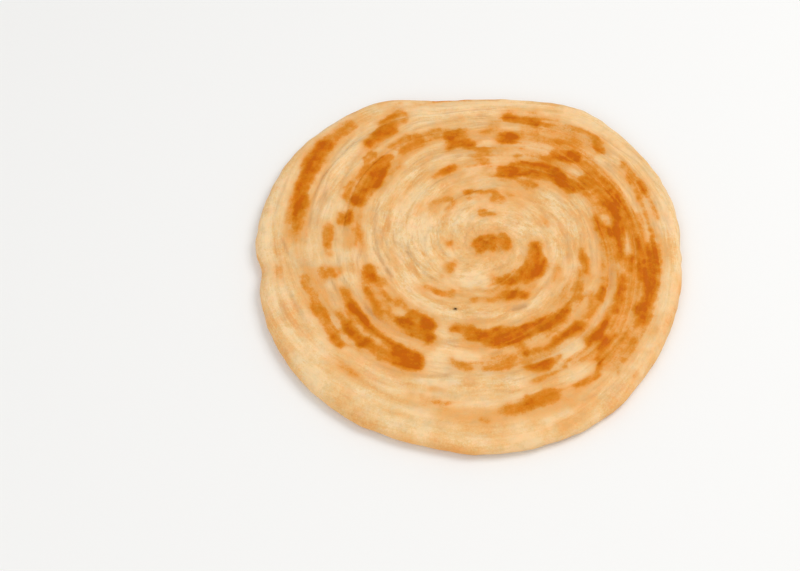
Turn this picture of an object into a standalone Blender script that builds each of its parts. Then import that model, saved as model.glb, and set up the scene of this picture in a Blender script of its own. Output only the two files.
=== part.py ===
"""Kerala parotta: a layered flatbread, coiled from a pleated sheet of dough and pressed flat.

The solid is one turned disc whose points are moved by functions of their angle about the coil's
eye and of how far out they lie. Units are metres, +Z is up, and the bread lies on Z = 0.
"""
import math

import bpy
import numpy as np

MM = 0.001
TAU = 2.0 * math.pi

# Outline: how far the rim lies from the coil's eye, every 15 degrees, anticlockwise from +X.
# The far side is pressed nearly straight, and the near side bulges.
EDGE_RADII_MM = (78.9, 80.4, 81.1, 82.0, 83.6, 80.2, 78.5, 80.5, 89.3, 92.0, 93.8, 93.6,
                 93.2, 92.7, 94.1, 94.6, 94.7, 93.8, 94.4, 92.8, 90.5, 86.1, 82.5, 80.2)
MEAN_RADIUS = 87.0 * MM
OUTLINE_EASE = 1.5              # how fast the round inner turns take on the rim's own outline

# Thickness: the crown is the middle of the bread, the shoulder is where the rim starts to round.
CROWN_HEIGHT = 7.6 * MM
SHOULDER_HEIGHT = 6.4 * MM
EDGE_HEIGHT = 2.9 * MM          # where the rim reaches furthest out
SHOULDER_AT = 0.945             # as a share of the way out to the rim
FOOT_AT = 0.93                  # outer limit of the flat underside

# Coil: pleats of the rope show as seams that wind inward, anticlockwise, from rim to eye.
SEAMS_ACROSS = 7                # seams met on the way from the rim to the eye
PLEATS_SIDE_BY_SIDE = 3         # seams that start at the rim, a third of a turn apart
LIP_HEIGHT = 1.15 * MM          # how far a pleat's outer lip stands over its neighbour
LIP_WIDTH = 0.07                # widths as shares of one pleat
LIP_FALL = 0.85                 # share of its height that a lip loses across its pleat
GROOVE_DEPTH = 0.45 * MM
GROOVE_WIDTH = 0.06
HALF_PLEAT_HEIGHT = 0.4 * MM    # a lower step partway across a pleat
HALF_PLEAT_AT = 0.5
EYE_RADIUS = 15.0 * MM          # inside it the pleats run together into one curl
CURL_PITCH = 5.5 * MM
CURL_HEIGHT = 0.7 * MM
CURL_LIP_WIDTH = 0.16
EYE_HEIGHT = 0.5 * MM
EYE_SPREAD = 6.0 * MM

# Seams sway in and out: share of the radius, waves round the bread, waves outward, start angle.
SWAYS = ((0.016, 2, 7.0, 1.9), (0.012, 3, 13.0, 0.0), (0.008, 5, -19.0, 1.3), (0.005, 9, 31.0, 4.0))
# Lips stand higher in some places than in others, about this share of their full height.
LIP_SHARE = 0.8
LIP_SWELLS = ((0.22, 3, 16.0, 0.4), (0.16, 7, -27.0, 2.2))
SEAMS_FADE_FROM = 0.86          # they fade from here to the rim

# The near side's outermost turn is wide and smooth.
SMOOTH_TURN_ANGLE = math.radians(250)
SMOOTH_TURN_SPREAD = math.radians(62)
SMOOTH_TURN_FROM = 0.69
SMOOTH_TURN_TO = 0.77           # fully smooth from here out
SMOOTH_TURN_CALM = 0.85         # share of the seams' relief that it lacks

# A seam bows outward once, on the near right.
BOW_ANGLE = math.radians(320)
BOW_SPREAD = math.radians(24)
BOW_AT = 0.68
BOW_WIDTH = 0.11
BOW_REACH = 0.055

# The rope's tail is tucked in on the left: a notch in the rim and a crease that runs in from it.
TAIL_ANGLE = math.radians(187)
TAIL_SPREAD = math.radians(4.5)
TAIL_NOTCH = 2.4 * MM
TAIL_NOTCH_FROM = 0.84
TAIL_CREASE_DEPTH = 0.55 * MM
TAIL_CREASE_FROM = 0.5
TAIL_CREASE_TO = 0.7

# Gentle waves of the whole bread: height, waves round it, waves from eye to rim, start angle.
WAVES = ((0.26 * MM, 2, 0.6, 0.7), (0.20 * MM, 3, 1.1, 2.4), (0.15 * MM, 5, 1.7, 4.1))
WAVES_FADE_FROM = 0.9

# The underside's seams are shallower than the top's, and it is flat round the eye.
UNDERSIDE_SHARE = 0.45
UNDERSIDE_GROOVE_AT = 0.2
UNDERSIDE_GROOVE_WIDTH = 0.1
UNDERSIDE_FLAT_RADIUS = 22.0 * MM

# Fineness of the turned disc, and of the solid that is kept
TURN_STEPS = 300
TOP_RINGS = 118
RIM_RINGS = 12
UNDERSIDE_RINGS = 90
TRIANGLES_KEPT = 9400
LEVEL_WITHIN = 0.04 * MM        # points this near the table are set on it

CRUST_COLOUR = (0.79, 0.49, 0.19, 1.0)
CRUST_ROUGHNESS = 0.55


def clear_scene():
    """Remove whatever the open file holds."""
    for item in list(bpy.data.objects):
        bpy.data.objects.remove(item, do_unlink=True)


def smoothstep(low, high, value):
    """Rise from 0 at low to 1 at high with level ends."""
    share = np.clip((value - low) / (high - low), 0.0, 1.0)
    return share * share * (3.0 - 2.0 * share)


def angle_from(angle, start):
    """Signed turn from one angle to another, within half a turn."""
    return np.mod(angle - start + math.pi, TAU) - math.pi


def bump(value, spread):
    """Bell curve, 1 where value is 0."""
    return np.exp(-(value / spread) ** 2)


def edge_radius(angle):
    """Distance from the eye to the rim, by a closed smooth curve through the outline's radii."""
    radii = np.array(EDGE_RADII_MM) * MM
    place = np.mod(angle, TAU) / TAU * len(radii)
    index = np.floor(place).astype(int)
    t = place - index
    before, start, end, after = (radii[(index + step) % len(radii)] for step in (-1, 0, 1, 2))
    bend = 2.0 * before - 5.0 * start + 4.0 * end - after
    twist = 3.0 * (start - end) + after - before
    return start + 0.5 * t * (end - before + t * (bend + t * twist))


def turn_radius(angle, out):
    """Distance from the eye of a point this share of the way out: round turns, then the outline."""
    radius = out * (MEAN_RADIUS + (edge_radius(angle) - MEAN_RADIUS) * out ** OUTLINE_EASE)
    notch = bump(angle_from(angle, TAIL_ANGLE), TAIL_SPREAD)
    notch = notch * smoothstep(TAIL_NOTCH_FROM, 1.0, out)
    return radius - TAIL_NOTCH * notch


def pleat_place(angle, out):
    """How many seams lie between the rim and this point, counted along the winding."""
    bow = BOW_REACH * bump(angle_from(angle, BOW_ANGLE), BOW_SPREAD) * bump(out - BOW_AT, BOW_WIDTH)
    sway = sum(reach * np.sin(around * angle + outward * out + start)
               for reach, around, outward, start in SWAYS) * out
    turned = PLEATS_SIDE_BY_SIDE * np.mod(angle, TAU) / TAU
    return SEAMS_ACROSS * (1.0 - out + bow + sway) - turned


def pleat_profile(share):
    """Height across one pleat, from its outer lip (0) to where the next one covers it (1)."""
    lip = smoothstep(0.0, LIP_WIDTH, share) * (1.0 - LIP_FALL * share)
    groove = bump(1.0 - share, GROOVE_WIDTH)
    half_step = smoothstep(HALF_PLEAT_AT, HALF_PLEAT_AT + LIP_WIDTH, share)
    half_step = half_step * (1.0 - share) / (1.0 - HALF_PLEAT_AT)
    return LIP_HEIGHT * lip - GROOVE_DEPTH * groove + HALF_PLEAT_HEIGHT * half_step


def seam_strength(angle, out):
    """1 where seams are sharp; they fade on the smooth turn, towards the rim and at the eye."""
    smooth_turn = bump(angle_from(angle, SMOOTH_TURN_ANGLE), SMOOTH_TURN_SPREAD)
    smooth_turn = smooth_turn * smoothstep(SMOOTH_TURN_FROM, SMOOTH_TURN_TO, out)
    towards_rim = 1.0 - smoothstep(SEAMS_FADE_FROM, 1.0, out)
    beyond_eye = smoothstep(0.7, 1.2, out * MEAN_RADIUS / EYE_RADIUS)
    swell = LIP_SHARE + sum(share * np.sin(around * angle + outward * out + start)
                            for share, around, outward, start in LIP_SWELLS)
    return (1.0 - SMOOTH_TURN_CALM * smooth_turn) * towards_rim * beyond_eye * swell


def eye_curl(angle, out):
    """The end of the rope, one curl in the middle of the coil, slightly proud."""
    radius = out * MEAN_RADIUS
    share = np.mod(-radius / CURL_PITCH - angle / TAU, 1.0)
    lip = smoothstep(0.0, CURL_LIP_WIDTH, share) * (1.0 - share)
    within_eye = 1.0 - smoothstep(0.7, 1.1, radius / EYE_RADIUS)
    off_centre = smoothstep(0.1, 0.35, radius / EYE_RADIUS)
    return CURL_HEIGHT * lip * within_eye * off_centre + EYE_HEIGHT * bump(radius, EYE_SPREAD)


def waves(angle, out):
    """The bread's slow rise and fall, level at the eye."""
    total = np.zeros_like(angle)
    for height, around, outward, start in WAVES:
        total += height * out * np.sin(around * angle + outward * TAU * out + start)
    return total


def top_relief(angle, out):
    """What the pleats, the eye, the crease and the waves add to the top."""
    share = np.mod(pleat_place(angle, out), 1.0)
    pleats = pleat_profile(share) * seam_strength(angle, out)
    crease = bump(angle_from(angle, TAIL_ANGLE) * out, TAIL_SPREAD)
    crease = TAIL_CREASE_DEPTH * crease * smoothstep(TAIL_CREASE_FROM, TAIL_CREASE_TO, out)
    slow_waves = waves(angle, out) * (1.0 - smoothstep(WAVES_FADE_FROM, 1.0, out))
    return pleats + eye_curl(angle, out) - crease + slow_waves


def underside_relief(angle, out):
    """Grooves pressed up into the flat underside, which winds the same way seen through the bread."""
    share = np.mod(pleat_place(angle, out), 1.0)
    groove = bump(share - UNDERSIDE_GROOVE_AT, UNDERSIDE_GROOVE_WIDTH) * seam_strength(angle, out)
    beyond_flat = smoothstep(1.0, 1.25, out * MEAN_RADIUS / UNDERSIDE_FLAT_RADIUS)
    return UNDERSIDE_SHARE * LIP_HEIGHT * groove * beyond_flat


def profile_points():
    """Half section at +X, from the middle of the top, out over the rim and back underneath."""
    points = []
    for ring in range(TOP_RINGS):
        out = SHOULDER_AT * ring / TOP_RINGS
        fall = (CROWN_HEIGHT - SHOULDER_HEIGHT) * (out / SHOULDER_AT) ** 3
        points.append((out, CROWN_HEIGHT - fall))
    for ring in range(RIM_RINGS):
        turn = math.pi / 2.0 * ring / RIM_RINGS
        out = SHOULDER_AT + (1.0 - SHOULDER_AT) * math.sin(turn)
        points.append((out, EDGE_HEIGHT + (SHOULDER_HEIGHT - EDGE_HEIGHT) * math.cos(turn)))
    for ring in range(RIM_RINGS):
        turn = math.pi / 2.0 * ring / RIM_RINGS
        out = FOOT_AT + (1.0 - FOOT_AT) * math.cos(turn)
        points.append((out, EDGE_HEIGHT * (1.0 - math.sin(turn))))
    for ring in range(UNDERSIDE_RINGS + 1):
        points.append((FOOT_AT * (1.0 - ring / UNDERSIDE_RINGS), 0.0))
    return [(out * MEAN_RADIUS, 0.0, height) for out, height in points]


def applied(mesh, add_modifier):
    """The mesh as a modifier leaves it; the mesh that went in is removed."""
    holder = bpy.data.objects.new("holder", mesh)
    bpy.context.scene.collection.objects.link(holder)
    add_modifier(holder)
    evaluated = holder.evaluated_get(bpy.context.evaluated_depsgraph_get())
    result = bpy.data.meshes.new_from_object(evaluated)
    bpy.data.objects.remove(holder, do_unlink=True)
    bpy.data.meshes.remove(mesh)
    return result


def add_screw(holder):
    """Turn a half section about Z."""
    screw = holder.modifiers.new("Turn", "SCREW")
    screw.axis = "Z"
    screw.angle = TAU
    screw.steps = TURN_STEPS
    screw.render_steps = TURN_STEPS
    screw.use_merge_vertices = True
    screw.merge_threshold = 0.01 * MM


def add_decimate(holder):
    """Thin out the triangles where the surface is nearly flat."""
    holder.data.calc_loop_triangles()
    lighten = holder.modifiers.new("Lighten", "DECIMATE")
    lighten.ratio = TRIANGLES_KEPT / len(holder.data.loop_triangles)
    lighten.use_collapse_triangulate = True


def turned_disc():
    """Turn the half section about the eye into a closed disc."""
    points = profile_points()
    section = bpy.data.meshes.new("section")
    section.from_pydata(points, [(k, k + 1) for k in range(len(points) - 1)], [])
    return applied(section, add_screw)


def points_of(mesh):
    """The mesh's points as rows of x, y, z."""
    points = np.empty(len(mesh.vertices) * 3)
    mesh.vertices.foreach_get("co", points)
    return points.reshape(-1, 3)


def set_points(mesh, points):
    mesh.vertices.foreach_set("co", points.ravel())
    mesh.update()


def press_and_coil(mesh):
    """Move the disc's points to the real outline, and raise and groove its faces."""
    x, y, z = points_of(mesh).T
    angle = np.arctan2(y, x)
    out = np.hypot(x, y) / MEAN_RADIUS
    radius = turn_radius(angle, out)
    upper = smoothstep(EDGE_HEIGHT, SHOULDER_HEIGHT, z)
    lower = 1.0 - smoothstep(0.0, EDGE_HEIGHT, z)
    height = z + upper * top_relief(angle, out) + lower * underside_relief(angle, out)
    set_points(mesh, np.stack([radius * np.cos(angle), radius * np.sin(angle), height], axis=1))


def set_down(mesh):
    """Level the foot on Z = 0, and bring the middle of the outline over the origin."""
    points = points_of(mesh)
    points[points[:, 2] < LEVEL_WITHIN, 2] = 0.0
    middle = (points.min(axis=0) + points.max(axis=0)) / 2.0
    set_points(mesh, points - (middle[0], middle[1], 0.0))


def crust_material():
    """Pan-browned dough."""
    material = bpy.data.materials.new("crust")
    material.use_nodes = True
    shader = material.node_tree.nodes["Principled BSDF"]
    shader.inputs["Base Color"].default_value = CRUST_COLOUR
    shader.inputs["Roughness"].default_value = CRUST_ROUGHNESS
    shader.inputs["Metallic"].default_value = 0.0
    material.diffuse_color = CRUST_COLOUR
    return material


def make_parotta(collection):
    """The whole bread, one solid."""
    mesh = turned_disc()
    press_and_coil(mesh)
    mesh = applied(mesh, add_decimate)
    set_down(mesh)
    mesh.name = "parotta"
    mesh.materials.append(crust_material())
    mesh.shade_smooth()
    bread = bpy.data.objects.new("parotta", mesh)
    collection.objects.link(bread)
    return bread


def main():
    clear_scene()
    collection = bpy.data.collections.new("kerala_parotta")
    bpy.context.scene.collection.children.link(collection)
    make_parotta(collection)


main()
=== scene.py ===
"""Looks of a kerala parotta: a pleated, coiled and pan-browned flatbread, on a plain pale floor.

The bread repeats the part's own form at a finer grain, and adds what is too fine for the solid:
film edges, blisters, browned patches and the dough's own texture. Lengths are in metres.
"""
import math

import bpy
import numpy as np
from mathutils import Matrix, Vector
from mathutils.geometry import delaunay_2d_cdt


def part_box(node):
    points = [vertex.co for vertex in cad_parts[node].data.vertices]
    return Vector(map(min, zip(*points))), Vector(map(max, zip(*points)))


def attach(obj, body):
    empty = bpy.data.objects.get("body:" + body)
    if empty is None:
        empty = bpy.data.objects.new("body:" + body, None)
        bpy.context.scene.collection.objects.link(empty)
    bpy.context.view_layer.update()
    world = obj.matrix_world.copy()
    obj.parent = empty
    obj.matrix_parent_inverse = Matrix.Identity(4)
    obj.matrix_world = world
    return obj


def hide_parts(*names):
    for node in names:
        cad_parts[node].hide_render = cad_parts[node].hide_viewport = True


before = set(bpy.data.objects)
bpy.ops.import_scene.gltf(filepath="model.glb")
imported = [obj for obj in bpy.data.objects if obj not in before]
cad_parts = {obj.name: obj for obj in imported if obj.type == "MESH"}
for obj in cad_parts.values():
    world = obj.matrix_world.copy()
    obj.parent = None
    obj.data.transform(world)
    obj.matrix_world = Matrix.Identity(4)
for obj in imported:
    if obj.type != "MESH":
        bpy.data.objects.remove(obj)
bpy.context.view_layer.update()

MM = 0.001
TAU = 2.0 * math.pi
SEED = 20

# Outline and thickness, as in the part
EDGE_RADII_MM = (78.9, 80.4, 81.1, 82.0, 83.6, 80.2, 78.5, 80.5, 89.3, 92.0, 93.8, 93.6,
                 93.2, 92.7, 94.1, 94.6, 94.7, 93.8, 94.4, 92.8, 90.5, 86.1, 82.5, 80.2)
MEAN_RADIUS = 87.0 * MM
OUTLINE_EASE = 1.5
CROWN_HEIGHT = 7.6 * MM
SHOULDER_HEIGHT = 6.4 * MM
EDGE_HEIGHT = 2.9 * MM
SHOULDER_AT = 0.945
FOOT_AT = 0.93

# Coil, as in the part
SEAMS_ACROSS = 7
PLEATS_SIDE_BY_SIDE = 3
LIP_HEIGHT = 1.15 * MM
LIP_WIDTH = 0.07
LIP_FALL = 0.85
GROOVE_DEPTH = 0.45 * MM
GROOVE_WIDTH = 0.06
HALF_PLEAT_HEIGHT = 0.4 * MM
HALF_PLEAT_AT = 0.5
EYE_RADIUS = 15.0 * MM
CURL_PITCH = 5.5 * MM
CURL_HEIGHT = 0.7 * MM
CURL_LIP_WIDTH = 0.16
EYE_HEIGHT = 0.5 * MM
EYE_SPREAD = 6.0 * MM
SWAYS = ((0.016, 2, 7.0, 1.9), (0.012, 3, 13.0, 0.0), (0.008, 5, -19.0, 1.3), (0.005, 9, 31.0, 4.0))
LIP_SHARE = 0.8
LIP_SWELLS = ((0.22, 3, 16.0, 0.4), (0.16, 7, -27.0, 2.2))
SEAMS_FADE_FROM = 0.86
SMOOTH_TURN_ANGLE = math.radians(250)
SMOOTH_TURN_SPREAD = math.radians(62)
SMOOTH_TURN_FROM = 0.69
SMOOTH_TURN_TO = 0.77
SMOOTH_TURN_CALM = 0.85
BOW_ANGLE = math.radians(320)
BOW_SPREAD = math.radians(24)
BOW_AT = 0.68
BOW_WIDTH = 0.11
BOW_REACH = 0.055
TAIL_ANGLE = math.radians(187)
TAIL_SPREAD = math.radians(4.5)
TAIL_NOTCH = 2.4 * MM
TAIL_NOTCH_FROM = 0.84
TAIL_CREASE_DEPTH = 0.55 * MM
TAIL_CREASE_FROM = 0.5
TAIL_CREASE_TO = 0.7
WAVES = ((0.26 * MM, 2, 0.6, 0.7), (0.20 * MM, 3, 1.1, 2.4), (0.15 * MM, 5, 1.7, 4.1))
WAVES_FADE_FROM = 0.9
UNDERSIDE_SHARE = 0.45
UNDERSIDE_GROOVE_AT = 0.2
UNDERSIDE_GROOVE_WIDTH = 0.1
UNDERSIDE_FLAT_RADIUS = 22.0 * MM

# Fine relief, and how much of it the smooth turn lacks
FILM_HEIGHT = 0.34 * MM
SEAM_DEPTH = 0.3 * MM
LIP_OVERHANG = 0.3 * MM
LIP_EDGE_WIDTH = 0.06
STRIPE_HEIGHT = 0.16 * MM
DOUGH_HEIGHT = 0.07 * MM
CRUST_RISE = 0.22 * MM
FINE_CALM = 0.55

# Heights above this are eased to about the solid's own
EASED_ABOVE = 8.3 * MM
EASED_WITHIN = 0.7 * MM

# Blisters: the smallest one's size, and how much larger the largest is
BLISTER_COUNT = 150
BLISTER_HEIGHT = 0.42 * MM
BLISTER_LEAST = 1.3 * MM
BLISTER_MORE = 3.2 * MM

# Pressed layers of the rim's side, and dents in it
LAYER_HEIGHT = 1.7 * MM
LAYER_STEP = 0.28 * MM
DENT_DEPTH = 0.5 * MM

# Noise round the rim: cells from the middle to the rim, and number of the draw
LAYER_STRAYS = (6.0, 30)
DENTS = (20.0, 31)

# Noise of equal grain in every direction: size of its cells, and number of the draw
BLOTS = (5.2 * MM, 8)
SPECKS = (2.2 * MM, 9)
CRUMBS = (1.1 * MM, 15)
WIDE_TONES = (15.0 * MM, 11)
SMALL_TONES = (6.0 * MM, 12)
PATCH_EDGES = (8.0 * MM, 14)
FILM_STRAYS = (13.0 * MM, 16)
FILM_PLACES = (16.0 * MM, 17)
SEAM_STRAYS = (7.0 * MM, 18)

# Noise drawn out along the coil: cells across each pleat and in each turn, number of the draw
STREAKS = (8, 48, 7)
PLEAT_BREAKS = (1, 15, 10)
TONE_STREAKS = (5, 26, 13)
UNDER_STRIPES = (6, 14, 23)

# Sums of such noises: share of each one first
STRIPES = ((0.65, 13, 22, 3), (0.35, 27, 40, 4))
LUMPS = ((0.6, 1.3 * MM, 5), (0.9, 4.5 * MM, 6))
UNDER_SPOTS = ((0.6, 9.0 * MM, 24), (0.25, 3.2 * MM, 25))

# Folds of the film, wide and narrow: noise along the coil, share of the relief, level and width of
# the creases that get painted shade and their share, and where the painted highlights on the fold edges
# start and end and their share
FOLDS = (
    ((5, 13, 1), 0.7, (0.42, 0.07, 1.0), (0.5, 0.85, 1.0)),
    ((10, 26, 2), 0.3, (0.45, 0.08, 0.6), (0.55, 0.9, 0.4)),
)
# How far folds stray (in pleats), how much shows everywhere, and what smooth turn and rim lack
FILM_STRAY = 0.35
FILM_EVERYWHERE = 0.3
FILM_TURN_CALM = 0.75
FILM_RIM_CALM = 0.6

# How slowly the fine noise changes along the coil
ALONG_REACH = 7.0 * MM

# Spacing of the mesh's points: across the pleats, and along them
TOP_ACROSS = 0.46 * MM
TOP_ALONG = 0.86 * MM
UNDER_ACROSS = 1.0 * MM
UNDER_ALONG = 1.5 * MM
RIM_RINGS = 9
RIM_STEP = 0.7 * MM

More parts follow.
